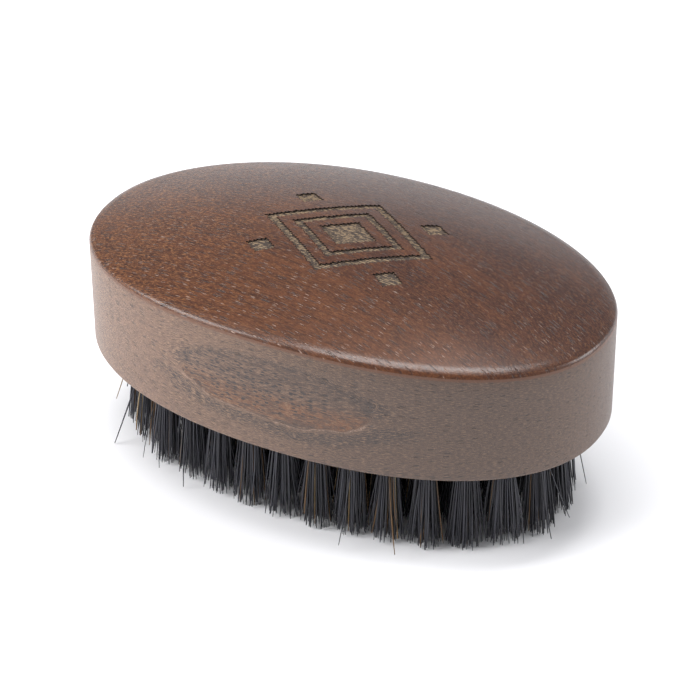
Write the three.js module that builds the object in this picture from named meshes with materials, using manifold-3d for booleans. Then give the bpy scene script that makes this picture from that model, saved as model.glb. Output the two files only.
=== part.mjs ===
// Oval palm brush for beards, in millimetres: +X along the block, +Z up, standing on its bristle
// tips at z = 0, with the origin under the middle of the block.
//
// The block is one piece of hardwood with a flat underside and a domed top. Its underside is
// drilled with rings of blind holes. Each hole holds a tuft of boar bristle, folded in half over
// a small brass anchor. A real anchor bites into the wood on both sides. Here it stops short of the
// wall of its hole, and only the anchors on the -Y side of the outer ring are modelled.

import * as THREE from "three";
import { mergeVertices } from "three/addons/utils/BufferGeometryUtils.js";
import Module from "manifold-3d";

// Driving dimensions of the block
const blockLength = 105;
const blockWidth = 63.4;
const outlinePower = 2.16; // 2 is an ellipse, more is squarer
const crownHeight = 29.7; // thickness of the block at its middle
const endDrop = 7.2; // how far the domed top falls from the crown to either end
const sideDrop = 5.2; // and to either long side
const rimInset = 2.2; // the top starts to ease over this far in from the wall
const rimDrop = 0.45; // and falls this much further by the wall
const cornerRound = 0.45; // then turns down into the wall
const footRound = 0.8; // radius between wall and underside

// Driving dimensions of the bristle field: three oval rings round a straight core row
const bristleLength = 20; // from the underside down to the trimmed tips
const rings = [
  { name: "outer", inset: 9.5, count: 30, lean: 4 },
  { name: "second", inset: 17, count: 24, lean: 3, arcs: 4 },
  { name: "third", inset: 24.3, count: 17, lean: 2, arcs: 3 },
];
const ringPhase = 0.2; // of a spacing, from the +X end to a ring's first tuft
const coreCount = 7;
const coreLength = 41.6; // between the first and last tufts of the core row

// One tuft, its hole and its anchor
const holeRadius = 2.1;
const holeDepth = 9;
const drillPoint = 1.2; // depth of the cone that the drill leaves
const drillOverrun = 1; // how far the drill's own shape stands out below the underside
const rootRadius = 1.65; // tuft inside its hole
const rootDepth = 8.6;
const foldRound = 0.7; // chamfer round the fold at the bottom of the hole
const tipRadius = 2.9; // tuft at its trimmed tips, across the ring
const tuftGap = 0.7; // between the tips of two neighbours in a ring
const strayHeight = 5; // stray bristles that bridge the tips of two neighbours
const strayThickness = 1.2;
const anchorLength = 3.1;
const anchorThickness = 0.45;
const anchorHeight = 1.8;
const anchorDepth = 6.1; // from the underside to the middle of the anchor
const clearance = 0.3; // round each anchor

// How finely the curves are divided
const outlineSegments = 56;
const outlineSamples = 720; // for spacing the tufts evenly round an oval
const footSteps = 2;
const rimInsets = [0, 0.12, 0.45, 1.2, rimInset];
const domeShares = [0.82, 0.64, 0.46, 0.28, 0.12, 0];
const tuftSides = 8;
const weldDistance = 1e-4;

const halfLength = blockLength / 2;
const halfWidth = blockWidth / 2;
const crownZ = bristleLength + crownHeight;

const wood = new THREE.MeshStandardMaterial({ color: 0x5a3524, roughness: 0.45, metalness: 0 });
const bristle = new THREE.MeshStandardMaterial({ color: 0x14151a, roughness: 0.4, metalness: 0 });
const brass = new THREE.MeshStandardMaterial({ color: 0xb08d4a, roughness: 0.35, metalness: 1 });

const wasm = await Module();
wasm.setup();

function toSolid(geometry) {
  const bare = geometry.clone();
  bare.deleteAttribute("normal");
  bare.deleteAttribute("uv");
  const merged = mergeVertices(bare, weldDistance);
  const corners = merged.index.array;
  const triangles = [];
  for (let i = 0; i < corners.length; i += 3) {
    const [a, b, c] = corners.slice(i, i + 3);
    if (a !== b && b !== c && c !== a) triangles.push(a, b, c);
  }
  return new wasm.Manifold(new wasm.Mesh({
    numProp: 3,
    vertProperties: new Float32Array(merged.attributes.position.array),
    triVerts: new Uint32Array(triangles),
  }));
}

function toGeometry(solid) {
  const mesh = solid.getMesh();
  const geometry = new THREE.BufferGeometry();
  geometry.setAttribute("position", new THREE.BufferAttribute(mesh.vertProperties, 3));
  geometry.setIndex(new THREE.BufferAttribute(mesh.triVerts, 1));
  geometry.computeVertexNormals();
  return geometry;
}

function addMesh(parent, name, geometry, material) {
  const mesh = new THREE.Mesh(geometry, material);
  mesh.name = name;
  parent.add(mesh);
  return mesh;
}

// The oval outline, as a superellipse with the given half axes
class Oval extends THREE.Curve {
  constructor(halfX, halfY) {
    super();
    this.halfX = halfX;
    this.halfY = halfY;
    this.arcLengthDivisions = outlineSamples;
  }

  getPoint(t, target = new THREE.Vector3()) {
    const angle = 2 * Math.PI * t;
    const squared = (value) => Math.sign(value) * Math.abs(value) ** (2 / outlinePower);
    return target.set(this.halfX * squared(Math.cos(angle)), this.halfY * squared(Math.sin(angle)), 0);
  }
}

function domeHeight(x, y) {
  return crownZ - endDrop * (x / halfLength) ** 2 - sideDrop * (y / halfWidth) ** 2;
}

// The block's edge profile from the middle of its underside to its crown. share is the distance
// from the middle as a share of the outline; height gives z at a place on that row.
function blockRows() {
  const rows = [{ share: 0, height: () => bristleLength }];
  for (let step = 0; step <= footSteps; step += 1) {
    const turn = (Math.PI / 2) * (step / footSteps);
    rows.push({
      share: 1 - (footRound * (1 - Math.sin(turn))) / halfWidth,
      height: () => bristleLength + footRound * (1 - Math.cos(turn)),
    });
  }
  for (const inset of rimInsets) {
    const easing = rimDrop * (1 - inset / rimInset) ** 2;
    const corner = cornerRound * Math.max(0, 1 - inset / cornerRound) ** 2;
    rows.push({
      share: 1 - inset / halfWidth,
      height: (x, y) => domeHeight(x, y) - easing - corner,
    });
  }
  for (const share of domeShares) {
    rows.push({ share, height: domeHeight });
  }
  return rows;
}

// A lathe of the edge profile, moved out from a circle to the oval outline
function blockBody() {
  const rows = blockRows();
  const profile = rows.map((row, index) => new THREE.Vector2(row.share, index));
  const geometry = new THREE.LatheGeometry(profile, outlineSegments);
  const outline = new Oval(halfLength, halfWidth);
  const places = geometry.attributes.position;
  const point = new THREE.Vector3();
  for (let i = 0; i < places.count; i += 1) {
    const segment = Math.floor(i / rows.length) % outlineSegments;
    const row = rows[i % rows.length];
    outline.getPoint(segment / outlineSegments, point).multiplyScalar(row.share);
    places.setXYZ(i, point.x, point.y, row.height(point.x, point.y));
  }
  return toSolid(geometry);
}

// A turned shape about the tuft's own axis: z = 0 at the underside of the block, +Z into the
// wood, +X towards the outline. Everything about a tuft leans by the same shear, so that its
// tips stay level.
function turned(points, lean) {
  const profile = points.map(([radius, height]) => new THREE.Vector2(radius, height));
  return leaning(new THREE.LatheGeometry(profile, tuftSides).rotateX(Math.PI / 2), lean);
}

function leaning(geometry, lean) {
  const slope = -Math.tan(THREE.MathUtils.degToRad(lean));
  return geometry.applyMatrix4(new THREE.Matrix4().makeShear(0, 0, 0, 0, slope, 0));
}

function holeGeometry(lean) {
  const profile = [
    [0, -drillOverrun],
    [holeRadius, -drillOverrun],
    [holeRadius, holeDepth],
    [0, holeDepth + drillPoint],
  ];
  return turned(profile, lean);
}

// A tuft fans out from its hole to its tips. alongRadius is half its width at the tips along the ring.
function tuftGeometry(lean, alongRadius) {
  const profile = [
    [0, -bristleLength],
    [tipRadius, -bristleLength],
    [rootRadius, 0],
    [rootRadius, rootDepth - foldRound],
    [rootRadius - foldRound, rootDepth],
    [0, rootDepth],
  ];
  const geometry = turned(profile, lean);
  const places = geometry.attributes.position;
  for (let i = 0; i < places.count; i += 1) {
    const spread = Math.max(0, -places.getZ(i)) / bristleLength;
    places.setY(i, places.getY(i) * THREE.MathUtils.lerp(1, alongRadius / tipRadius, spread));
  }
  return geometry;
}

function anchorGeometry(lean) {
  const bar = new THREE.BoxGeometry(anchorThickness, anchorLength, anchorHeight);
  return leaning(bar.translate(0, 0, anchorDepth), lean);
}

// The window that the fold of a tuft leaves round its anchor, from one side of the tuft to the other
function windowGeometry(lean) {
  const window = new THREE.BoxGeometry(
    anchorThickness + 2 * clearance,
    anchorLength + 2 * rootRadius,
    anchorHeight + 2 * clearance,
  );
  return leaning(window.translate(0, 0, anchorDepth), lean);
}

// A tuft's holder sits at the mouth of its hole and is turned so that its +X faces outwards
function tuftHolder(x, y, turn) {
  const holder = new THREE.Group();
  holder.position.set(x, y, bristleLength);
  holder.rotation.z = turn;
  holder.updateMatrix();
  return holder;
}

// Holders for a ring's tufts, evenly spaced along its oval
function ringHolders({ inset, count }) {
  const oval = new Oval(halfLength - inset, halfWidth - inset);
  return Array.from({ length: count }, (_, index) => {
    const along = (index + ringPhase) / count;
    const place = oval.getPointAt(along);
    const tangent = oval.getTangentAt(along);
    return tuftHolder(place.x, place.y, Math.atan2(-tangent.x, tangent.y));
  });
}

function coreHolders() {
  const spacing = coreLength / (coreCount - 1);
  return Array.from({ length: coreCount }, (_, index) =>
    tuftHolder(index * spacing - coreLength / 2, 0, -Math.PI / 2));
}

// How far the tips of a tuft stand out from its hole
function tipOffset(lean) {
  return bristleLength * Math.tan(THREE.MathUtils.degToRad(lean));
}

// Half the width of a ring's tufts at their tips, along the ring
function tipHalfWidth({ inset, count, lean }) {
  const tipInset = inset - tipOffset(lean);
  const spacing = new Oval(halfLength - tipInset, halfWidth - tipInset).getLength() / count;
  return Math.min(tipRadius, (spacing - tuftGap) / 2);
}

function addBlock(brush, holes) {
  const block = holes.reduce((solid, { holder, lean }) =>
    solid.subtract(toSolid(holeGeometry(lean).applyMatrix4(holder.matrix))), blockBody());
  addMesh(brush, "wood_block", toGeometry(block), wood);
}

// The outer ring's tufts are a node each. Those on the -Y side carry their anchors as nodes too.
function addOuterRing(brush, ring, holders) {
  const whole = toSolid(tuftGeometry(ring.lean, tipHalfWidth(ring)));
  const tuft = toGeometry(whole.subtract(toSolid(windowGeometry(ring.lean))));
  const anchor = anchorGeometry(ring.lean);
  holders.forEach((holder, index) => {
    const number = String(index + 1).padStart(2, "0");
    addMesh(holder, `outer_tuft_${number}`, tuft, bristle);
    if (holder.position.y < 0) addMesh(holder, `anchor_${number}`, anchor, brass);
    brush.add(holder);
  });
}

function addCoreRow(brush, holders) {
  const tuft = tuftGeometry(0, tipRadius);
  holders.forEach((holder, index) => {
    addMesh(holder, `core_tuft_${index + 1}`, toGeometry(toSolid(tuft)), bristle);
    brush.add(holder);
  });
}

// Where two neighbouring tufts meet, stray bristles cross from one to the other near the tips
function strayBridge(holder, neighbour, lean) {
  const [start, end] = [holder, neighbour].map(({ matrix }) =>
    new THREE.Vector3(tipOffset(lean), 0, -bristleLength).applyMatrix4(matrix));
  const bridge = new THREE.BoxGeometry(start.distanceTo(end), strayThickness, strayHeight);
  bridge.rotateZ(Math.atan2(end.y - start.y, end.x - start.x));
  return bridge.translate((start.x + end.x) / 2, (start.y + end.y) / 2, strayHeight / 2);
}

// The tufts of an inner ring are joined in arcs by their stray bristles
function addInnerRing(brush, ring, holders) {
  const tuft = tuftGeometry(ring.lean, tipHalfWidth(ring));
  const perArc = holders.length / ring.arcs;
  for (let arc = 0; arc < ring.arcs; arc += 1) {
    const members = holders.slice(Math.round(arc * perArc), Math.round((arc + 1) * perArc));
    const tufts = members.map(({ matrix }) => tuft.clone().applyMatrix4(matrix));
    const bridges = members.slice(1).map((holder, index) => strayBridge(members[index], holder, ring.lean));
    const joined = [...tufts, ...bridges].map(toSolid).reduce((sum, solid) => sum.add(solid));
    addMesh(brush, `${ring.name}_ring_tufts_${arc + 1}`, toGeometry(joined), bristle);
  }
}

const brush = new THREE.Group();
const ringsOfHolders = rings.map(ringHolders);
const core = coreHolders();
const ringHoles = ringsOfHolders.flatMap((holders, index) =>
  holders.map((holder) => ({ holder, lean: rings[index].lean })));
const coreHoles = core.map((holder) => ({ holder, lean: 0 }));
addBlock(brush, [...ringHoles, ...coreHoles]);
addOuterRing(brush, rings[0], ringsOfHolders[0]);
addInnerRing(brush, rings[1], ringsOfHolders[1]);
addInnerRing(brush, rings[2], ringsOfHolders[2]);
addCoreRow(brush, core);

export default brush;
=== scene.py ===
"""Oval palm beard brush: the looks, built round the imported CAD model.

The wood block is remade as a fine mesh with a rounded rim, drilled holes and an engraved
ornament, and every tuft as single bristles. Metres throughout, in the CAD model's frame.
"""

import math
from types import SimpleNamespace

import bpy
import numpy as np
from mathutils import Matrix, Vector


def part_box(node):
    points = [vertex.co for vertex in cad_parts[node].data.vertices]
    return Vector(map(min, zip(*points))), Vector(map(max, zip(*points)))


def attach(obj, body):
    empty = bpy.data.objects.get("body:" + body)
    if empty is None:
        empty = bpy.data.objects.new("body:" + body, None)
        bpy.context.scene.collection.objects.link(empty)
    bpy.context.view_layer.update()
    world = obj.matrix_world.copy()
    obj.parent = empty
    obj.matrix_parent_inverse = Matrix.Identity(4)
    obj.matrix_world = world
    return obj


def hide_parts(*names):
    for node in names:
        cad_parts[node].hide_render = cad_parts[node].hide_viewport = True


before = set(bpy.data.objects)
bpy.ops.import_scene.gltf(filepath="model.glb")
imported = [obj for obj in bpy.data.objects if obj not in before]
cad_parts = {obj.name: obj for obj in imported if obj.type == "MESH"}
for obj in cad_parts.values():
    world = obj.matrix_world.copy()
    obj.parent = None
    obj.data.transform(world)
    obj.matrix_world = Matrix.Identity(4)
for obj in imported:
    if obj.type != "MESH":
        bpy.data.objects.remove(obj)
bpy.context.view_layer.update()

MM = 0.001
BODY = "root"

# The block, from the frame
BLOCK_LOW, BLOCK_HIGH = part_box("wood_block")
HALF_LENGTH = (BLOCK_HIGH[0] - BLOCK_LOW[0]) / 2
HALF_WIDTH = (BLOCK_HIGH[1] - BLOCK_LOW[1]) / 2
UNDERSIDE = BLOCK_LOW[2]
CROWN = BLOCK_HIGH[2]
OUTLINE_POWER = 2.16
END_DROP = 7.2 * MM
SIDE_DROP = 5.2 * MM
RIM_INSET = 2.2 * MM
RIM_DROP = 0.45 * MM
CORNER_ROUND = 0.45 * MM
FOOT_ROUND = 0.8 * MM

# The bristle field: three oval rings round a straight core row
BRISTLE_LENGTH = UNDERSIDE
# fan is the half width of a tuft's tips along its ring, as a share of half the spacing there
RINGS = [
    {"name": "outer", "inset": 9.5 * MM, "count": 30, "lean": math.radians(4),
     "bristles": 88, "fan": 0.96},
    {"name": "second", "inset": 17.0 * MM, "count": 24, "lean": math.radians(3),
     "bristles": 76, "fan": 1.05, "arcs": 4},
    {"name": "third", "inset": 24.3 * MM, "count": 17, "lean": math.radians(2),
     "bristles": 64, "fan": 1.0, "arcs": 3},
    {"name": "core", "count": 7, "lean": 0.0, "bristles": 64, "fan": 1.0},
]
RING_PHASE = 0.2
CORE_LENGTH = 41.6 * MM
HOLE_RADIUS = 1.95 * MM
HOLE_DEPTH = 9.0 * MM
DRILL_POINT = 1.05 * MM
ANCHOR_SIZE = (0.45 * MM, 3.1 * MM, 1.8 * MM)
ANCHOR_DEPTH = 6.1 * MM

# The wood's colours
DOME_DARK = (0.031, 0.0088, 0.0054)
DOME_WARM = (0.09, 0.0292, 0.0103)
DOME_STREAK = (0.015, 0.0045, 0.003)
DOME_FIBRE = (0.1, 0.034, 0.017)
DOME_SPECK = (0.2, 0.088, 0.034)
# A painted highlight: the pale colour of glints painted into the dome's pores
DOME_PAINTED_GLINT = (0.34, 0.23, 0.18)
# Painted light: the paler colour of the wall's -X end, where the key lamp lights it
WALL_PALE_PAINTED_LIGHT = (0.178, 0.103, 0.07)
WALL_GREY = (0.083, 0.049, 0.034)
WALL_STREAK = (0.042, 0.025, 0.02)
WALL_TAN = (0.27, 0.165, 0.1)
WALL_PORE = (0.024, 0.018, 0.018)
KNOT_ORANGE = (0.14, 0.054, 0.021)
KNOT_PALE = (0.4, 0.26, 0.19)
RIM_LINE_ORANGE = (0.115, 0.042, 0.018)
ENGRAVED_DARK = (0.028, 0.016, 0.01)
ENGRAVED_TAN = (0.22, 0.15, 0.085)
BURNT = (0.02, 0.011, 0.008)
DRILLED_DARK = (0.10, 0.05, 0.03)
DRILLED_PALE = (0.22, 0.12, 0.07)

# The knot on the -Y wall, in millimetres; its height is above the underside
KNOT_X = 0.5
KNOT_HEIGHT = 13.5
KNOT_HALF_LENGTH = 20.5
KNOT_HALF_HEIGHT = 6.5

# The engraved ornament: three nested diamonds with a small one off each corner. Each has a half
# length, and the share of it that its hollow middle takes.
ORNAMENT_DIAMONDS = [(17.5 * MM, 0.855), (11.6 * MM, 0.8), (6.0 * MM, 0.0)]
ORNAMENT_SLIMNESS = 0.745
CORNER_PLACE = (13.2 * MM, 9.6 * MM)
CORNER_SIZE = 3.1 * MM
ENGRAVED_DEPTH = 0.34 * MM
SCAN_PITCH = 0.44 * MM
SCAN_RIDGE = 0.09 * MM
SCAN_COLUMN = 0.22 * MM

# The camera: where it aims and from where
VIEW_AZIMUTH = 0.4782
VIEW_ELEVATION = 0.5906
VIEW_ROLL = -0.0041
VIEW_DISTANCE = 0.5359
VIEW_AIM = Vector((-2.08 * MM, 4.73 * MM, UNDERSIDE))
VIEW_LENS = 142.6

# The studio's lights, in watts apart from the sky
SKY_STRENGTH = 0.43
KEY_POWER = 14.5
OVERHEAD_POWER = 5.5
HORIZON_POWER = 1.3
SHEEN_POWER = 0.45
FILL_POWER = 8.8


# ---------------------------------------------------------------- geometry helpers

def oval_point(angle, half_x, half_y):
    """A point of the superellipse outline. angle may be an array."""
    cosine, sine = np.cos(angle), np.sin(angle)
    power = 2 / OUTLINE_POWER
    x = half_x * np.sign(cosine) * np.abs(cosine) ** power
    y = half_y * np.sign(sine) * np.abs(sine) ** power
    return x, y


def dome_height(x, y):
    return CROWN - END_DROP * (x / HALF_LENGTH) ** 2 - SIDE_DROP * (y / HALF_WIDTH) ** 2


def mesh_object(name, points, faces, smooth=True):
    mesh = bpy.data.meshes.new(name)
    mesh.from_pydata([tuple(p) for p in points], [], [tuple(f) for f in faces])
    mesh.update()
    mesh.polygons.foreach_set("use_smooth", [smooth] * len(mesh.polygons))
    piece = bpy.data.objects.new(name, mesh)
    bpy.context.scene.collection.objects.link(piece)
    return piece


def ring_places(ring):
    """(x, y, outward angle) of each tuft of a ring, evenly spaced along its oval."""
    if ring["name"] == "core":
        across = np.linspace(-CORE_LENGTH / 2, CORE_LENGTH / 2, ring["count"])
        return [(x, 0.0, -math.pi / 2) for x in across]
    half_x, half_y = HALF_LENGTH - ring["inset"], HALF_WIDTH - ring["inset"]
    x, y = oval_point(np.linspace(0, 2 * math.pi, 2881), half_x, half_y)
    along = np.concatenate([[0], np.cumsum(np.hypot(np.diff(x), np.diff(y)))])
    wanted = (np.arange(ring["count"]) + RING_PHASE) / ring["count"] * along[-1]
    step = along[-1] / len(x)
    ahead, behind = wanted + step, wanted - step
    turn = np.arctan2(np.interp(behind, along, x) - np.interp(ahead, along, x),
                      np.interp(ahead, along, y) - np.interp(behind, along, y))
    return list(zip(np.interp(wanted, along, x), np.interp(wanted, along, y), turn))


def place_matrix(place, lean):
    """From a tuft's own frame (z = 0 at the underside, +X outwards) to the brush's, leaning."""
    x, y, angle = place
    shear = Matrix.Identity(4)
    shear[0][2] = -math.tan(lean)
    return Matrix.Translation((x, y, UNDERSIDE)) @ Matrix.Rotation(angle, 4, "Z") @ shear


# ---------------------------------------------------------------- material helpers

class Shader:
    """Builds one material's node tree; every method returns the socket it made."""

    def __init__(self, name):
        self.material = bpy.data.materials.new(name)
        self.material.use_nodes = True
        self.tree = self.material.node_tree
        self.tree.nodes.clear()
        self.output = self.tree.nodes.new("ShaderNodeOutputMaterial")
        self.surface = self.tree.nodes.new("ShaderNodeBsdfPrincipled")
        self.tree.links.new(self.surface.outputs[0], self.output.inputs["Surface"])

    def put(self, socket, value):
        if isinstance(value, bpy.types.NodeSocket):
            self.tree.links.new(value, socket)
        elif isinstance(value, (tuple, list)) and len(value) == 3 and socket.type == "RGBA":
            socket.default_value = (*value, 1)
        else:
            socket.default_value = value

    def set(self, **inputs):
        for name, value in inputs.items():
            self.put(self.surface.inputs[name.replace("_", " ")], value)

    def position(self):
        return self.tree.nodes.new("ShaderNodeTexCoord").outputs["Object"]

    def scaled(self, vector, scale):
        node = self.tree.nodes.new("ShaderNodeMapping")
        self.put(node.inputs["Vector"], vector)
        node.inputs["Scale"].default_value = scale
        return node.outputs[0]

    def split(self, vector):
        node = self.tree.nodes.new("ShaderNodeSeparateXYZ")
        self.put(node.inputs[0], vector)
        return node.outputs

    def join(self, x, y, z):
        node = self.tree.nodes.new("ShaderNodeCombineXYZ")
        for socket, value in zip(node.inputs, (x, y, z)):
            self.put(socket, value)
        return node.outputs[0]

    def math(self, operation, *values):
        node = self.tree.nodes.new("ShaderNodeMath")
        node.operation = operation
        for socket, value in zip(node.inputs, values):
            self.put(socket, value)
        return node.outputs[0]

    def noise(self, vector, scale, detail=2.0, roughness=0.5, distortion=0.0):
        node = self.tree.nodes.new("ShaderNodeTexNoise")
        self.put(node.inputs["Vector"], vector)
        node.inputs["Scale"].default_value = scale
        node.inputs["Detail"].default_value = detail
        node.inputs["Roughness"].default_value = roughness
        node.inputs["Distortion"].default_value = distortion
        return node.outputs["Fac"]

    def flat_cells(self, vector):
        node = self.tree.nodes.new("ShaderNodeTexVoronoi")
        node.voronoi_dimensions = "2D"
        self.put(node.inputs["Vector"], vector)
        node.inputs["Scale"].default_value = 1.0
        return node.outputs["Distance"], node.outputs["Color"]

    def ramp(self, value, low, high, start=0.0, end=1.0):
        node = self.tree.nodes.new("ShaderNodeMapRange")
        node.interpolation_type = "SMOOTHSTEP"
        for name, number in (("Value", value), ("From Min", low), ("From Max", high),
                             ("To Min", start), ("To Max", end)):
            self.put(node.inputs[name], number)
        return node.outputs[0]

    def mix(self, share, first, second):
        node = self.tree.nodes.new("ShaderNodeMix")
        node.data_type = "RGBA"
        self.put(node.inputs["Factor"], share)
        self.put(node.inputs[6], first)
        self.put(node.inputs[7], second)
        return node.outputs[2]

    def bump(self, height, distance, strength=1.0):
        node = self.tree.nodes.new("ShaderNodeBump")
        node.inputs["Strength"].default_value = strength
        node.inputs["Distance"].default_value = distance
        self.put(node.inputs["Height"], height)
        return node.outputs[0]


def squared(s, value):
    return s.math("MULTIPLY", value, value)


def dome_depth(s, x, y, z):
    """How far a point lies under the dome, in mm: 0 on the dome, and more down the wall."""
    end_fall = s.math("MULTIPLY", squared(s, s.math("DIVIDE", x, HALF_LENGTH / MM)), END_DROP / MM)
    side_fall = s.math("MULTIPLY", squared(s, s.math("DIVIDE", y, HALF_WIDTH / MM)), SIDE_DROP / MM)
    return s.math("SUBTRACT", s.math("SUBTRACT", CROWN / MM, s.math("ADD", end_fall, side_fall)), z)


def knot_distance(s, mm, x, z):
    """Distance from the middle of the knot, where its edge is 1, and the height within it."""
    across = s.math("DIVIDE", s.math("SUBTRACT", x, KNOT_X), KNOT_HALF_LENGTH)
    up = s.math("DIVIDE", s.math("SUBTRACT", z, UNDERSIDE / MM + KNOT_HEIGHT), KNOT_HALF_HEIGHT)
    wobble = s.noise(s.scaled(mm, (0.1, 0.2, 0.3)), 1.0, 2, 0.5)
    plain = s.math("SQRT", s.math("ADD", squared(s, across), squared(s, up)))
    return s.math("ADD", plain, s.ramp(wobble, 0.2, 0.8, -0.08, 0.08)), up


def window(s, value, start, full, fade, end):
    """1 between full and fade, falling smoothly to 0 at start and end."""
    return s.math("MULTIPLY", s.ramp(value, start, full), s.ramp(value, fade, end, 1, 0))


def pore_field(s, along, across, length, width, share, offset):
    """Open pores stretched along the grain: 1 inside a pore, 0 outside. Sizes in mm. share is how
    many of the cells hold a pore, and offset makes one field different from another."""
    cell = 2.6
    u = s.math("MULTIPLY_ADD", along, 1 / (cell * length), offset)
    v = s.math("MULTIPLY_ADD", across, 1 / (cell * width), offset * 1.7)
    distance, color = s.flat_cells(s.join(u, v, 0.0))
    present = s.ramp(s.split(color)[0], 1 - share, 1.02 - share)
    return s.math("MULTIPLY", s.ramp(distance, 0.14, 0.27, 1, 0), present)


def both_faces(s, wall, on_dome, on_wall):
    """One value on the dome and another on the wall."""
    return s.math("ADD", s.math("MULTIPLY", on_wall, wall),
                  s.math("MULTIPLY", on_dome, s.math("SUBTRACT", 1.0, wall)))


def wood_figure(s):
    """What the faces of the block share: where a point is, in mm, and the figure of the wood there."""
    wood = SimpleNamespace()
    mm = s.scaled(s.position(), (1000, 1000, 1000))
    x, y, z = s.split(mm)
    wood.depth = dome_depth(s, x, y, z)
    wood.wall = s.ramp(wood.depth, 0.7, 0.9)
    wood.end = s.math("DIVIDE", x, HALF_LENGTH / MM)
    wood.side = s.math("DIVIDE", y, HALF_WIDTH / MM)

    # The grain swings round towards -Y at the +X end, and bends round the knot on the -Y wall
    swing = s.math("MULTIPLY", squared(s, s.math("ADD", x, 37.0)), 0.0023)
    wood.knot, wood.up = knot_distance(s, mm, x, z)
    wood.on_front = s.ramp(wood.side, -0.75, -0.4, 1, 0)
    wood.inside = s.math("MULTIPLY", s.ramp(wood.knot, 0.94, 1.0, 1, 0), wood.on_front)
    beyond = squared(s, s.math("MAXIMUM", wood.knot, 1.0))
    parting = s.math("DIVIDE", s.math("MULTIPLY", wood.up, KNOT_HALF_HEIGHT), beyond)
    bending = s.math("MULTIPLY", s.math("SUBTRACT", wood.on_front, wood.inside), 0.65)
    parting = s.math("MULTIPLY", parting, bending)
    grain = s.join(x, s.math("ADD", y, swing), s.math("SUBTRACT", z, parting))

    wood.broad = s.noise(s.scaled(grain, (0.016, 0.11, 0.16)), 1.0, 3, 0.55)
    wood.streaks = s.noise(s.scaled(grain, (0.08, 1.5, 1.5)), 1.0, 5, 0.7, 0.2)
    wood.fibres = s.noise(s.scaled(grain, (0.5, 5.5, 5.5)), 1.0, 3, 0.7)
    wood.speckle = s.noise(s.scaled(grain, (1.1, 5.0, 5.0)), 1.0, 2, 0.7)
    wood.patches = s.noise(s.scaled(mm, (0.05, 0.09, 0.09)), 1.0, 2, 0.5)

    # Pores lie flat on their face: along X on the dome, and round the outline on the wall
    round_wall = s.math("MULTIPLY", s.math("ARCTAN2", wood.end, s.math("MULTIPLY", wood.side, -1.0)), 42.0)
    across_dome = s.math("ADD", y, swing)
    level = s.math("SUBTRACT", z, parting)
    wood.dome_pores = pore_field(s, x, across_dome, 1.7, 0.17, 0.3, 31.0)
    # These pores are sunk in the bump, and dome_color also paints pale glints into them as highlights
    glints = pore_field(s, x, across_dome, 0.9, 0.13, 0.2, 53.0)
    wood.glints = s.math("MULTIPLY", glints, s.ramp(wood.speckle, 0.42, 0.56))
    wood.wall_pores = pore_field(s, round_wall, level, 0.9, 0.15, 0.22, 71.0)
    wood.knot_pores = pore_field(s, round_wall, level, 1.0, 0.2, 0.6, 13.0)
    wood.dots = pore_field(s, round_wall, level, 0.6, 0.32, 0.85, 97.0)

    # The wall's figure is long dashes, but sandy at its -X end
    sand = s.noise(s.scaled(grain, (2.4, 6.5, 6.5)), 1.0, 2, 0.7)
    stretched = s.join(s.math("MULTIPLY", round_wall, 1.1), s.math("MULTIPLY", level, 8.5), 0.0)
    dashes = s.noise(stretched, 1.0, 3, 0.7)
    sandy = s.ramp(wood.end, -0.8, -0.3, 1, 0)
    wood.mottle = both_faces(s, sandy, dashes, sand)
    return wood


def dome_color(s, wood):
    """Red-brown, more orange and grittier towards the -X end and the -Y side."""
    warmth = s.math("ADD", s.math("MULTIPLY", wood.end, -0.3), s.math("MULTIPLY", wood.side, -0.85))
    warmth = s.math("ADD", warmth, s.ramp(wood.broad, 0.25, 0.75, -0.5, 0.5))
    dome = s.mix(s.ramp(warmth, -0.7, 0.8), DOME_DARK, DOME_WARM)
    dome = s.mix(s.ramp(wood.streaks, 0.4, 0.66, 0, 0.65), dome, DOME_STREAK)
    dome = s.mix(s.ramp(wood.fibres, 0.5, 0.7, 0, 0.6), dome, DOME_FIBRE)
    dome = s.mix(s.ramp(wood.fibres, 0.3, 0.45, 0.5, 0), dome, DOME_STREAK)
    grit = s.ramp(wood.end, -0.95, 0.2, 0.9, 0.32)
    dome = s.mix(s.math("MULTIPLY", s.ramp(wood.speckle, 0.54, 0.61), grit), dome, DOME_SPECK)
    dome = s.mix(s.math("MULTIPLY", s.ramp(wood.speckle, 0.38, 0.45, 0.85, 0), grit), dome, DOME_STREAK)
    dome = s.mix(s.math("MULTIPLY", wood.dome_pores, 0.65), dome, DOME_STREAK)
    # Painted highlights: pale glints are painted into some of the pores, most along the -Y side, in uneven
    # patches
    toward_back = s.math("ADD", wood.side, s.ramp(wood.patches, 0.35, 0.65, 0.4, -0.4))
    painted_glints = s.math("MULTIPLY", wood.glints, s.ramp(toward_back, -0.8, 0.1, 0.65, 0.05))
    return s.mix(painted_glints, dome, DOME_PAINTED_GLINT)


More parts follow.
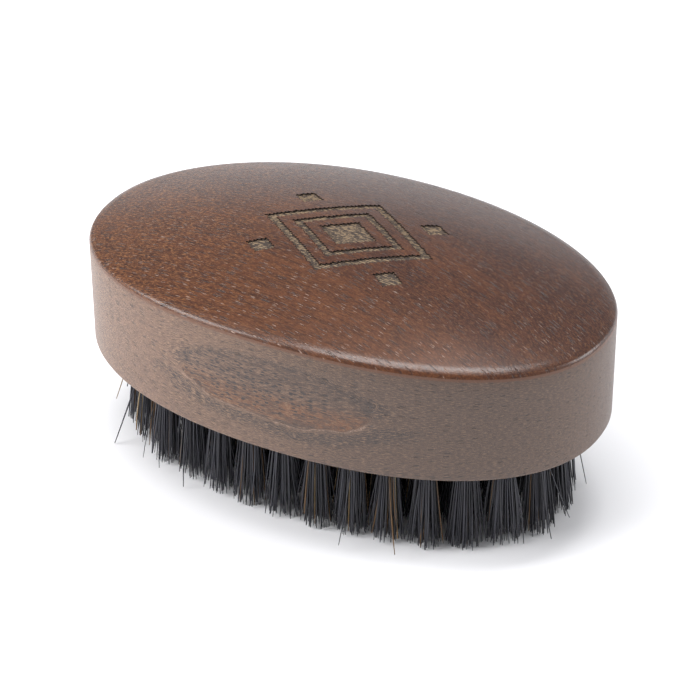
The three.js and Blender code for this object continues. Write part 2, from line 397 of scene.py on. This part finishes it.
def wall_color(s, wood):
    """Greyer than the dome, with dark pores, tan dashes and the knot, and painted light that makes its -X
    end paler.
    """
    # Painted light: the wall is paler towards its -X end, where the key lamp lights it, and greyer towards
    # +X; the broad figure makes the change uneven
    toward_right = s.math("ADD", s.math("MULTIPLY", wood.end, 0.8), wood.broad)
    flank = s.mix(s.ramp(toward_right, -0.1, 0.8), WALL_PALE_PAINTED_LIGHT, WALL_GREY)
    flank = s.mix(s.ramp(wood.streaks, 0.42, 0.7, 0, 0.55), flank, WALL_STREAK)
    # An orange band runs along the lower side of the knot
    orange = s.math("MULTIPLY", window(s, wood.up, -1.0, -0.75, -0.45, 0.15), wood.inside)
    flank = s.mix(s.math("MULTIPLY", orange, s.ramp(wood.streaks, 0.34, 0.6, 1.0, 0.75)), flank, KNOT_ORANGE)
    rough_grain = s.ramp(wood.end, -0.6, 0.7, 1.0, 0.35)
    tan = s.math("MULTIPLY", s.ramp(wood.mottle, 0.53, 0.59), rough_grain)
    flank = s.mix(tan, flank, WALL_TAN)
    dark = s.math("MULTIPLY", s.ramp(wood.mottle, 0.39, 0.45, 0.95, 0), rough_grain)
    flank = s.mix(dark, flank, WALL_STREAK)
    flank = knot_marks(s, wood, flank)
    pores = s.math("MULTIPLY", wood.wall_pores, s.ramp(wood.patches, 0.4, 0.6, 0.3, 0.75))
    flank = s.mix(pores, flank, WALL_PORE)
    # A thin orange-brown line runs just under the rim, where the lacquered dome meets the satin wall
    under_rim = window(s, wood.depth, 0.6, 0.8, 1.15, 1.6)
    rim_line = s.math("MULTIPLY", under_rim, s.ramp(wood.fibres, 0.3, 0.7, 0.5, 1))
    return s.mix(rim_line, flank, RIM_LINE_ORANGE)


def knot_marks(s, wood, flank):
    """The rest of the knot: dark and dotted, with a dark upper edge, and a pale line and then a
    dark one under its orange band."""
    streaky = s.math("MULTIPLY", wood.inside, s.ramp(wood.streaks, 0.42, 0.58, 0.0, 0.55))
    flank = s.mix(streaky, flank, WALL_STREAK)
    below = s.math("MULTIPLY", s.ramp(wood.up, -0.55, -0.3, 1, 0), wood.on_front)
    above = s.math("MULTIPLY", s.ramp(wood.up, -0.3, 0.1), wood.on_front)
    edge = s.math("MULTIPLY", window(s, wood.knot, 0.8, 0.97, 1.0, 1.12), above)
    flank = s.mix(s.math("MULTIPLY", edge, s.ramp(wood.mottle, 0.4, 0.6, 0.7, 0.0)), flank, WALL_PORE)
    pale_line = s.math("MULTIPLY", window(s, wood.knot, 0.965, 0.99, 1.0, 1.03), below)
    broken = s.ramp(wood.fibres, 0.46, 0.6, 0.0, 0.6)
    flank = s.mix(s.math("MULTIPLY", pale_line, broken), flank, KNOT_PALE)
    shade_line = s.math("MULTIPLY", window(s, wood.knot, 1.03, 1.12, 1.3, 1.55), below)
    dashed = s.ramp(wood.mottle, 0.42, 0.58, 0.85, 0.0)
    flank = s.mix(s.math("MULTIPLY", shade_line, dashed), flank, WALL_PORE)
    # The dots crowd into the middle and the -X end
    toward_left = s.ramp(s.math("ADD", wood.knot, s.math("MULTIPLY", wood.end, 1.1)), 0.5, 1.1, 1, 0)
    core = s.math("MULTIPLY", toward_left, wood.inside)
    flank = s.mix(s.math("MULTIPLY", wood.dots, s.math("MULTIPLY", core, 0.95)), flank, WALL_PORE)
    return s.mix(s.math("MULTIPLY", s.math("MULTIPLY", wood.knot_pores, wood.inside), 0.6), flank, WALL_PORE)


def wood_material():
    """Stained hardwood, grain along X: lacquered on the dome, satin on the wall."""
    s = Shader("stained_wood")
    wood = wood_figure(s)
    s.set(Base_Color=s.mix(wood.wall, dome_color(s, wood), wall_color(s, wood)))
    gloss = s.mix(wood.wall, (0.36, 0.36, 0.36), (0.42, 0.42, 0.42))
    s.set(Roughness=s.math("ADD", gloss, s.ramp(wood.fibres, 0.3, 0.7, -0.05, 0.07)))
    s.set(Specular_IOR_Level=s.ramp(wood.wall, 0, 1, 0.2, 0.5))
    sunk = both_faces(s, wood.wall, s.math("MAXIMUM", wood.dome_pores, wood.glints), wood.wall_pores)
    height = s.math("SUBTRACT", s.math("MULTIPLY", wood.fibres, 0.6), sunk)
    s.set(Normal=s.bump(height, 0.00012, 0.8))
    # A thin lacquer, which half fills the pores
    s.set(Coat_Weight=s.ramp(wood.wall, 0, 1, 0.46, 0.08), Coat_Roughness=0.17)
    s.set(Coat_Normal=s.bump(height, 0.00005, 0.7))
    return s.material


def engraved_material():
    """The floor of the engraving: scorched, with the tan crests of the scan lines."""
    s = Shader("engraved_wood")
    mm = s.scaled(s.position(), (1000, 1000, 1000))
    broken = s.noise(s.scaled(mm, (0.9, 2.6, 2.6)), 1.0, 3, 0.7)
    y = s.split(mm)[1]
    wave = s.math("SINE", s.math("MULTIPLY", y, 2 * math.pi / (SCAN_PITCH / MM)))
    crest = s.math("MULTIPLY", s.ramp(wave, -0.1, 0.6), s.ramp(broken, 0.44, 0.58))
    s.set(Base_Color=s.mix(crest, ENGRAVED_DARK, ENGRAVED_TAN), Roughness=0.7)
    s.set(Normal=s.bump(broken, 0.00006))
    return s.material


def burnt_material():
    """The scorched sides of the engraving."""
    s = Shader("burnt_wood")
    mm = s.scaled(s.position(), (1000, 1000, 1000))
    soot = s.noise(s.scaled(mm, (3, 3, 3)), 1.0, 2, 0.6)
    s.set(Base_Color=s.mix(s.ramp(soot, 0.3, 0.7), BURNT, ENGRAVED_DARK), Roughness=0.75)
    s.set(Normal=s.bump(soot, 0.00004))
    return s.material


def drilled_material():
    """The raw inside of the drilled holes."""
    s = Shader("drilled_wood")
    mm = s.scaled(s.position(), (1000, 1000, 1000))
    rings = s.noise(s.scaled(mm, (0.6, 0.6, 5)), 1.0, 3, 0.6)
    s.set(Base_Color=s.mix(rings, DRILLED_DARK, DRILLED_PALE), Roughness=0.8)
    s.set(Normal=s.bump(rings, 0.0001))
    return s.material


def bristle_material():
    """Boar bristle: black with a soft sheen. The tone attribute holds, for each bristle, its
    shade, how far along it a point is, and whether it is a black, brown or blond one."""
    s = Shader("boar_bristle")
    tone = s.tree.nodes.new("ShaderNodeAttribute")
    tone.attribute_name = "tone"
    shade, along, kind = s.split(tone.outputs["Vector"])
    mm = s.scaled(s.position(), (1000, 1000, 1000))
    scales = s.noise(s.scaled(mm, (6, 6, 2.5)), 1.0, 2, 0.6)
    black = s.mix(shade, (0.012, 0.012, 0.016), (0.042, 0.042, 0.054))
    brown = s.mix(along, (0.05, 0.028, 0.014), (0.16, 0.085, 0.03))
    blond = s.mix(along, (0.38, 0.33, 0.2), (0.25, 0.14, 0.05))
    color = s.mix(s.ramp(kind, 0.25, 0.45), black, brown)
    color = s.mix(s.ramp(kind, 0.7, 0.9), color, blond)
    s.set(Base_Color=color, Roughness=s.ramp(scales, 0.2, 0.8, 0.32, 0.5))
    s.set(Normal=s.bump(scales, 0.00002, 0.5))
    return s.material


def brass_material():
    """Drawn brass wire."""
    s = Shader("anchor_brass")
    mm = s.scaled(s.position(), (1000, 1000, 1000))
    drawn = s.noise(s.scaled(mm, (3, 3, 20)), 1.0, 3, 0.6)
    s.set(Base_Color=s.mix(drawn, (0.5, 0.36, 0.14), (0.7, 0.53, 0.25)), Metallic=1.0)
    s.set(Roughness=s.ramp(drawn, 0.2, 0.8, 0.25, 0.5), Normal=s.bump(drawn, 0.00002))
    return s.material


# ---------------------------------------------------------------- the wood block

OUTLINE_STEPS = 320

# Material slots of the block
STAINED, DRILLED, ENGRAVED, SCORCHED = range(4)



def block_rows():
    """The block's edge profile as (inset, share, height rule) from the underside's rim to the crown.
    A row is first inset from the outline, then scaled by its share."""
    rows = []
    foot_steps, wall_steps, rim_steps, dome_steps = 5, 6, 12, 38
    for step in range(foot_steps + 1):
        turn = math.pi / 2 * step / foot_steps
        height = UNDERSIDE + FOOT_ROUND * (1 - math.cos(turn))
        rows.append((FOOT_ROUND * (1 - math.sin(turn)), 1.0, lambda x, y, height=height: height + 0 * x))
    for step in range(1, wall_steps):
        share = step / wall_steps
        rows.append((0.0, 1.0, lambda x, y, share=share: (1 - share) * (UNDERSIDE + FOOT_ROUND)
                     + share * (dome_height(x, y) - RIM_DROP - CORNER_ROUND)))
    for step in range(rim_steps + 1):
        share = step / rim_steps
        inset = RIM_INSET * share ** 1.5
        drop = RIM_DROP * (1 - inset / RIM_INSET) ** 2
        drop += CORNER_ROUND * (1 - min(1.0, inset / CORNER_ROUND)) ** 2
        rows.append((inset, 1.0, lambda x, y, drop=drop: dome_height(x, y) - drop))
    for step in range(1, dome_steps):
        rows.append((RIM_INSET, 1 - step / dome_steps, dome_height))
    return rows


def build_block():
    angles = np.arange(OUTLINE_STEPS) * 2 * math.pi / OUTLINE_STEPS
    points, faces = [], []
    for inset, share, height in block_rows():
        x, y = oval_point(angles, HALF_LENGTH - inset, HALF_WIDTH - inset)
        x, y = x * share, y * share
        points.append(np.stack([x, y, height(x, y)], axis=1))
    row_count = len(points)
    points = np.concatenate(points)
    for row in range(row_count - 1):
        low, high = row * OUTLINE_STEPS, (row + 1) * OUTLINE_STEPS
        for i in range(OUTLINE_STEPS):
            j = (i + 1) % OUTLINE_STEPS
            faces.append((low + i, low + j, high + j, high + i))
    crown = len(points)
    points = np.concatenate([points, [(0, 0, CROWN)]])
    last = (row_count - 1) * OUTLINE_STEPS
    for i in range(OUTLINE_STEPS):
        faces.append((last + i, last + (i + 1) % OUTLINE_STEPS, crown))
    faces.append(tuple(range(OUTLINE_STEPS - 1, -1, -1)))
    block = mesh_object("wood_block_body", points, faces)
    for material in (wood_material(), drilled_material(), engraved_material(), burnt_material()):
        block.data.materials.append(material)
    return block


def turned_points(profile, sides, matrix):
    """Rings of points about a tuft's axis, moved to its place."""
    points = []
    for radius, height in profile:
        for side in range(sides):
            angle = 2 * math.pi * side / sides
            points.append(matrix @ Vector((radius * math.cos(angle), radius * math.sin(angle), height)))
    return points


def ring_faces(rows, sides, start=0):
    faces = []
    for row in range(rows - 1):
        for i in range(sides):
            j = (i + 1) % sides
            faces.append((start + row * sides + i, start + row * sides + j,
                          start + (row + 1) * sides + j, start + (row + 1) * sides + i))
    return faces


def hole_cutter(tuft_places):
    """One mesh of all the drills: a cylinder with a cone point, for each hole."""
    sides = 24
    overrun, tip_radius = 1 * MM, 0.05 * MM
    profile = [(HOLE_RADIUS, -overrun), (HOLE_RADIUS, HOLE_DEPTH), (tip_radius, HOLE_DEPTH + DRILL_POINT)]
    points, faces = [], []
    for place, ring in tuft_places:
        start = len(points)
        points += turned_points(profile, sides, place_matrix(place, ring["lean"]))
        faces += ring_faces(len(profile), sides, start)
        faces.append(tuple(start + i for i in range(sides - 1, -1, -1)))
        faces.append(tuple(start + (len(profile) - 1) * sides + i for i in range(sides)))
    cutter = mesh_object("hole_cutter", points, faces)
    return with_slots(cutter, [DRILLED] * len(faces))


def with_slots(cutter, kinds):
    """Gives each face of a cutter its slot on the block, which the cut keeps."""
    for _ in range(max(kinds) + 1):
        cutter.data.materials.append(None)
    cutter.data.polygons.foreach_set("material_index", kinds)
    return cutter


def in_ornament(x, y):
    """Whether a point of the dome is engraved."""
    reach = abs(x) + abs(y) / ORNAMENT_SLIMNESS
    for half, hollow in ORNAMENT_DIAMONDS:
        if half * hollow < reach < half:
            return True
    corner = abs(abs(x) - CORNER_PLACE[0]) + abs(abs(y) - CORNER_PLACE[1]) / ORNAMENT_SLIMNESS
    return corner < CORNER_SIZE


def ornament_cutter():
    """The engraving tool's whole path as one mesh: rows of scan lines whose floors follow the dome
    in ridges, with stepped edges where one row ends before the next."""
    reach_x = ORNAMENT_DIAMONDS[0][0] + SCAN_COLUMN
    reach_y = reach_x * ORNAMENT_SLIMNESS
    columns = int(2 * reach_x / SCAN_COLUMN) + 1
    rows = 2 * (int(2 * reach_y / SCAN_PITCH) + 1)
    half_pitch = SCAN_PITCH / 2
    left, low = -columns * SCAN_COLUMN / 2, -rows * half_pitch / 2
    wander = np.random.default_rng(11).uniform(-0.12, 0.12, rows) * MM
    filled = np.zeros((columns, rows), dtype=bool)
    for j in range(rows):
        y = low + (j // 2 * 2 + 1) * half_pitch
        for i in range(columns):
            filled[i, j] = in_ornament(left + (i + 0.5) * SCAN_COLUMN + wander[j // 2], y)

    points, index = [], {}

    def corner(i, j, top):
        if (i, j, top) not in index:
            x, y = left + i * SCAN_COLUMN, low + j * half_pitch
            ridge = SCAN_RIDGE if j % 2 else 0.0
            floor = dome_height(x, y) - ENGRAVED_DEPTH - ridge
            index[i, j, top] = len(points)
            points.append((x, y, CROWN + 1 * MM if top else floor))
        return index[i, j, top]

    faces, kinds = [], []
    for i, j in np.argwhere(filled):
        low_face = [corner(i, j, 0), corner(i, j + 1, 0), corner(i + 1, j + 1, 0), corner(i + 1, j, 0)]
        top_face = [corner(i, j, 1), corner(i + 1, j, 1), corner(i + 1, j + 1, 1), corner(i, j + 1, 1)]
        faces += [low_face, top_face]
        kinds += [ENGRAVED, ENGRAVED]
        # A cell's edges anticlockwise from its -Y one: the neighbour across it, its start and its stop
        edges = [((i, j - 1), (i, j), (i + 1, j)), ((i + 1, j), (i + 1, j), (i + 1, j + 1)),
                 ((i, j + 1), (i + 1, j + 1), (i, j + 1)), ((i - 1, j), (i, j + 1), (i, j))]
        for neighbour, start, stop in edges:
            if not filled[neighbour]:
                faces.append([corner(*start, 0), corner(*stop, 0), corner(*stop, 1), corner(*start, 1)])
                kinds.append(SCORCHED)
    return with_slots(mesh_object("ornament_cutter", points, faces, smooth=False), kinds)


def cut(piece, cutter):
    """Takes the cutter's shape out of the piece and removes the cutter."""
    modifier = piece.modifiers.new("cut", "BOOLEAN")
    modifier.operation = "DIFFERENCE"
    modifier.solver = "EXACT"
    modifier.object = cutter
    apply_modifiers(piece)
    bpy.data.objects.remove(cutter)


def apply_modifiers(piece):
    bpy.context.view_layer.update()
    evaluated = piece.evaluated_get(bpy.context.evaluated_depsgraph_get())
    mesh = bpy.data.meshes.new_from_object(evaluated)
    piece.modifiers.clear()
    piece.data = mesh


# ---------------------------------------------------------------- bristles and anchors

BRISTLE_RADIUS = 0.145 * MM
BRISTLE_SIDES = 4
# Where a bristle's rows lie along its free length (negative is inside the hole), and how thick it is there
ALONG = np.array([-0.36, 0.0, 0.3, 0.6, 0.85, 1.0])
TAPER = np.array([1.0, 1.0, 0.98, 0.92, 0.8, 0.55])

# A tuft: its radius in the hole, half its width across the ring at the tips, and its unruly bristles
ROOT_RADIUS = 1.65 * MM
TIP_ACROSS = 2.6 * MM
STRAY_SHARE = 0.05
STRAY_SPREAD = 2.4 * MM
SHORT_SHARE = 0.06
SHORT_BY = 2.5 * MM
BLOND_SHARE = 0.009
BROWN_SHARE = 0.035

# Long strays near the two ends: (tuft, outwards, along the ring, shortfall, kind), in millimetres
END_STRAYS = [("outer_bristles_18", 5.6, -1.0, 0.3, 0.0), ("outer_bristles_17", 3.6, -2.5, 3.0, 1.0),
              ("outer_bristles_16", 3.4, 0.5, 1.2, 0.0), ("outer_bristles_19", 3.8, -1.0, 1.5, 0.0),
              ("outer_bristles_18", 2.8, 3.0, 5.0, 1.0), ("outer_bristles_20", 3.2, 2.5, 0.4, 0.0),
              ("outer_bristles_29", 4.0, 2.0, 2.5, 0.0), ("outer_bristles_30", 3.6, -1.5, 1.0, 0.0)]


def tip_half_width(ring):
    """Half the spacing of a ring's tufts at their tips."""
    if ring["name"] == "core":
        return CORE_LENGTH / (ring["count"] - 1) / 2
    inset = ring["inset"] - BRISTLE_LENGTH * math.tan(ring["lean"])
    x, y = oval_point(np.linspace(0, 2 * math.pi, 1441), HALF_LENGTH - inset, HALF_WIDTH - inset)
    return np.hypot(np.diff(x), np.diff(y)).sum() / ring["count"] / 2


def build_tuft(name, place, ring, rng):
    """One tuft of single bristles, fanning out from its hole to ragged tips."""
    count = ring["bristles"]
    radius = np.sqrt(rng.uniform(0, 1, count))
    angle = rng.uniform(0, 2 * math.pi, count)
    u, v = radius * np.cos(angle), radius * np.sin(angle)
    root = np.stack([u, v], axis=1) * ROOT_RADIUS
    spread = rng.normal(0, 0.22 * MM, (count, 2))
    tip = np.stack([u * TIP_ACROSS, v * tip_half_width(ring) * ring["fan"]], axis=1) + spread
    stray = rng.uniform(0, 1, count) < STRAY_SHARE
    tip[stray] += rng.normal(0, STRAY_SPREAD, (stray.sum(), 2))
    bend = rng.normal(0, 0.2 * MM, (count, 2))
    bend[stray] *= 2.5
    fan = np.hypot(tip[:, 0] - root[:, 0], tip[:, 1] - root[:, 1])
    short = fan ** 2 / (2 * BRISTLE_LENGTH) + np.abs(rng.normal(0, 0.45 * MM, count))
    short += rng.uniform(0, 0.5 * MM)
    short[rng.uniform(0, 1, count) < SHORT_SHARE] += SHORT_BY
    shade = rng.uniform(0, 1, count)
    kind = rng.uniform(0, 1, count)
    kind = np.where(kind > 1 - BLOND_SHARE, 1.0, np.where(kind > 1 - BROWN_SHARE, 0.5, 0.0))
    own_strays = [row for row in END_STRAYS if row[0] == name]
    for index, (_, out, sideways, shortfall, tint) in enumerate(own_strays):
        root[index] = np.array([1.4, 0.2 * sideways]) * MM
        tip[index] = np.array([1.4 + out, sideways]) * MM
        short[index], kind[index] = shortfall * MM, tint
        bend[index] *= 2
    thick = BRISTLE_RADIUS * rng.uniform(0.75, 1.2, count)

    s = ALONG[None, :]
    drop = np.where(s < 0, s * BRISTLE_LENGTH, s * (BRISTLE_LENGTH - short[:, None]))
    fanned = np.clip(s, 0, 1) ** 1.12
    bow = np.clip(s, 0, 1) * (1 - np.clip(s, 0, 1)) * 4
    centre_x = root[:, :1] + (tip[:, :1] - root[:, :1]) * fanned + bend[:, :1] * bow
    centre_y = root[:, 1:] + (tip[:, 1:] - root[:, 1:]) * fanned + bend[:, 1:] * bow
    centre_z = -drop

    turn = np.arange(BRISTLE_SIDES) * 2 * math.pi / BRISTLE_SIDES
    spin = rng.uniform(0, math.pi, count)[:, None, None]
    width = (thick[:, None] * TAPER[None, :])[:, :, None]
    px = centre_x[:, :, None] + width * np.cos(turn[None, None, :] + spin)
    py = centre_y[:, :, None] + width * np.sin(turn[None, None, :] + spin)
    pz = np.repeat(centre_z[:, :, None], BRISTLE_SIDES, axis=2)
    local = np.stack([px, py, pz, np.ones_like(px)], axis=-1).reshape(-1, 4)
    matrix = np.array(place_matrix(place, ring["lean"]))
    points = (local @ matrix.T)[:, :3]
    points[:, 2] = np.maximum(points[:, 2], 0.0)

    rows = len(ALONG)
    one = np.array(ring_faces(rows, BRISTLE_SIDES))[:, ::-1]
    per = rows * BRISTLE_SIDES
    sides = (one[None] + (np.arange(count) * per)[:, None, None]).reshape(-1, 4)
    caps = np.array([list(range(BRISTLE_SIDES)),
                     list(range(per - 1, per - 1 - BRISTLE_SIDES, -1))])
    caps = (caps[None] + (np.arange(count) * per)[:, None, None]).reshape(-1, 4)
    piece = mesh_object(name, points, np.concatenate([sides, caps]))

    tone = np.zeros((count, rows, BRISTLE_SIDES, 4), dtype=np.float32)
    tone[..., 0] = shade[:, None, None]
    tone[..., 1] = np.clip(ALONG, 0, 1)[None, :, None]
    tone[..., 2] = kind[:, None, None]
    tone[..., 3] = 1
    attribute = piece.data.color_attributes.new("tone", "FLOAT_COLOR", "POINT")
    attribute.data.foreach_set("color", tone.ravel())
    return piece


def build_anchors(name, places, ring):
    """The anchors of one ring whose CAD nodes are left to this script, as small sheared bars."""
    points, faces = [], []
    half = [size / 2 for size in ANCHOR_SIZE]
    edge = 0.06 * MM
    for place in places:
        matrix = place_matrix(place, ring["lean"])
        start = len(points)
        for level, inset in ((-1, edge), (-1, 0), (1, 0), (1, edge)):
            z = ANCHOR_DEPTH + level * (half[2] - (0 if inset else edge))
            for sx, sy in ((-1, -1), (1, -1), (1, 1), (-1, 1)):
                points.append(matrix @ Vector((sx * (half[0] - inset), sy * (half[1] - inset), z)))
        faces += ring_faces(4, 4, start)
        faces.append((start + 3, start + 2, start + 1, start))
        faces.append((start + 12, start + 13, start + 14, start + 15))
    return mesh_object(name, points, faces, smooth=False)


# ---------------------------------------------------------------- stage, light, camera

def build_stage():
    size = 3.0
    floor = mesh_object("floor", [(-size, -size, 0), (size, -size, 0), (size, size, 0), (-size, size, 0)],
                        [(0, 1, 2, 3)])
    s = Shader("pale_floor")
    s.set(Base_Color=(0.86, 0.86, 0.88), Roughness=0.9)
    floor.data.materials.append(s.material)


def area_light(name, place, aim, size, power):
    data = bpy.data.lights.new(name, "AREA")
    data.shape = "RECTANGLE"
    data.size, data.size_y = size
    data.energy = power
    light = bpy.data.objects.new(name, data)
    light.location = place
    light.rotation_euler = (Vector(aim) - Vector(place)).to_track_quat("-Z", "Y").to_euler()
    bpy.context.scene.collection.objects.link(light)


def build_light():
    world = bpy.data.worlds.new("studio")
    world.use_nodes = True
    background = world.node_tree.nodes["Background"]
    background.inputs["Color"].default_value = (0.95, 0.97, 1.0, 1)
    background.inputs["Strength"].default_value = SKY_STRENGTH
    bpy.context.scene.world = world
    area_light("key", (-0.75, -0.55, 0.6), (0, 0, 0.03), (0.7, 0.7), KEY_POWER)
    area_light("overhead", (-0.03, 0.03, 0.88), (0, 0, 0.03), (0.65, 0.2), OVERHEAD_POWER)
    area_light("sheen", (0.02, 0.3, 0.85), (0, 0, 0.03), (0.24, 0.16), SHEEN_POWER)
    area_light("fill", (0.95, 0.5, 0.42), (0, 0, 0.02), (0.6, 0.5), FILL_POWER)
    area_light("horizon", (-0.3, 1.1, 0.24), (0, 0, 0.05), (1.5, 0.42), HORIZON_POWER)
    bpy.context.scene.view_settings.view_transform = "Standard"


def build_camera():
    cos_a, sin_a = math.cos(VIEW_AZIMUTH), math.sin(VIEW_AZIMUTH)
    cos_e, sin_e = math.cos(VIEW_ELEVATION), math.sin(VIEW_ELEVATION)
    back = Vector((sin_a * cos_e, -cos_a * cos_e, sin_e))
    right = Vector((cos_a, sin_a, 0))
    up = back.cross(right)
    cos_r, sin_r = math.cos(VIEW_ROLL), math.sin(VIEW_ROLL)
    turned_right = right * cos_r + up * sin_r
    turned_up = up * cos_r - right * sin_r
    data = bpy.data.cameras.new("camera")
    data.sensor_width = 36
    data.lens = VIEW_LENS
    data.clip_start = 0.01
    camera = bpy.data.objects.new("camera", data)
    axes = Matrix((turned_right, turned_up, back)).transposed().to_4x4()
    camera.matrix_world = Matrix.Translation(VIEW_AIM + back * VIEW_DISTANCE) @ axes
    bpy.context.scene.collection.objects.link(camera)
    bpy.context.scene.camera = camera


# ---------------------------------------------------------------- build it all

build_camera()
build_light()
build_stage()

places_of = [ring_places(ring) for ring in RINGS]
tuft_places = [(place, ring) for ring, places in zip(RINGS, places_of) for place in places]

block = build_block()
cut(block, hole_cutter(tuft_places))
cut(block, ornament_cutter())
block.data.set_sharp_from_angle(angle=math.radians(35))
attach(block, BODY)
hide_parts("wood_block")

bristles = bristle_material()
rng = np.random.default_rng(7)
for ring, places in zip(RINGS, places_of):
    for index, place in enumerate(places):
        number = f"{index + 1:02d}"
        tuft = build_tuft(f"{ring['name']}_bristles_{number}", place, ring, rng)
        tuft.data.materials.append(bristles)
        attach(tuft, BODY)
        if ring["name"] == "outer":
            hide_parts(f"outer_tuft_{number}")
        elif ring["name"] == "core":
            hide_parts(f"core_tuft_{index + 1}")
        else:
            arc = min(int((index + 0.5) * ring["arcs"] / len(places)), ring["arcs"] - 1)
            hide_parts(f"{ring['name']}_ring_tufts_{arc + 1}")

brass = brass_material()
for ring, places in zip(RINGS, places_of):
    missing = [place for place in places if ring["name"] != "outer" or place[1] >= 0]
    anchors = build_anchors(f"{ring['name']}_anchors", missing, ring)
    anchors.data.materials.append(brass)
    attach(anchors, BODY)
for name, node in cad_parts.items():
    if name.startswith("anchor_"):
        node.data.materials.clear()
        node.data.materials.append(brass)
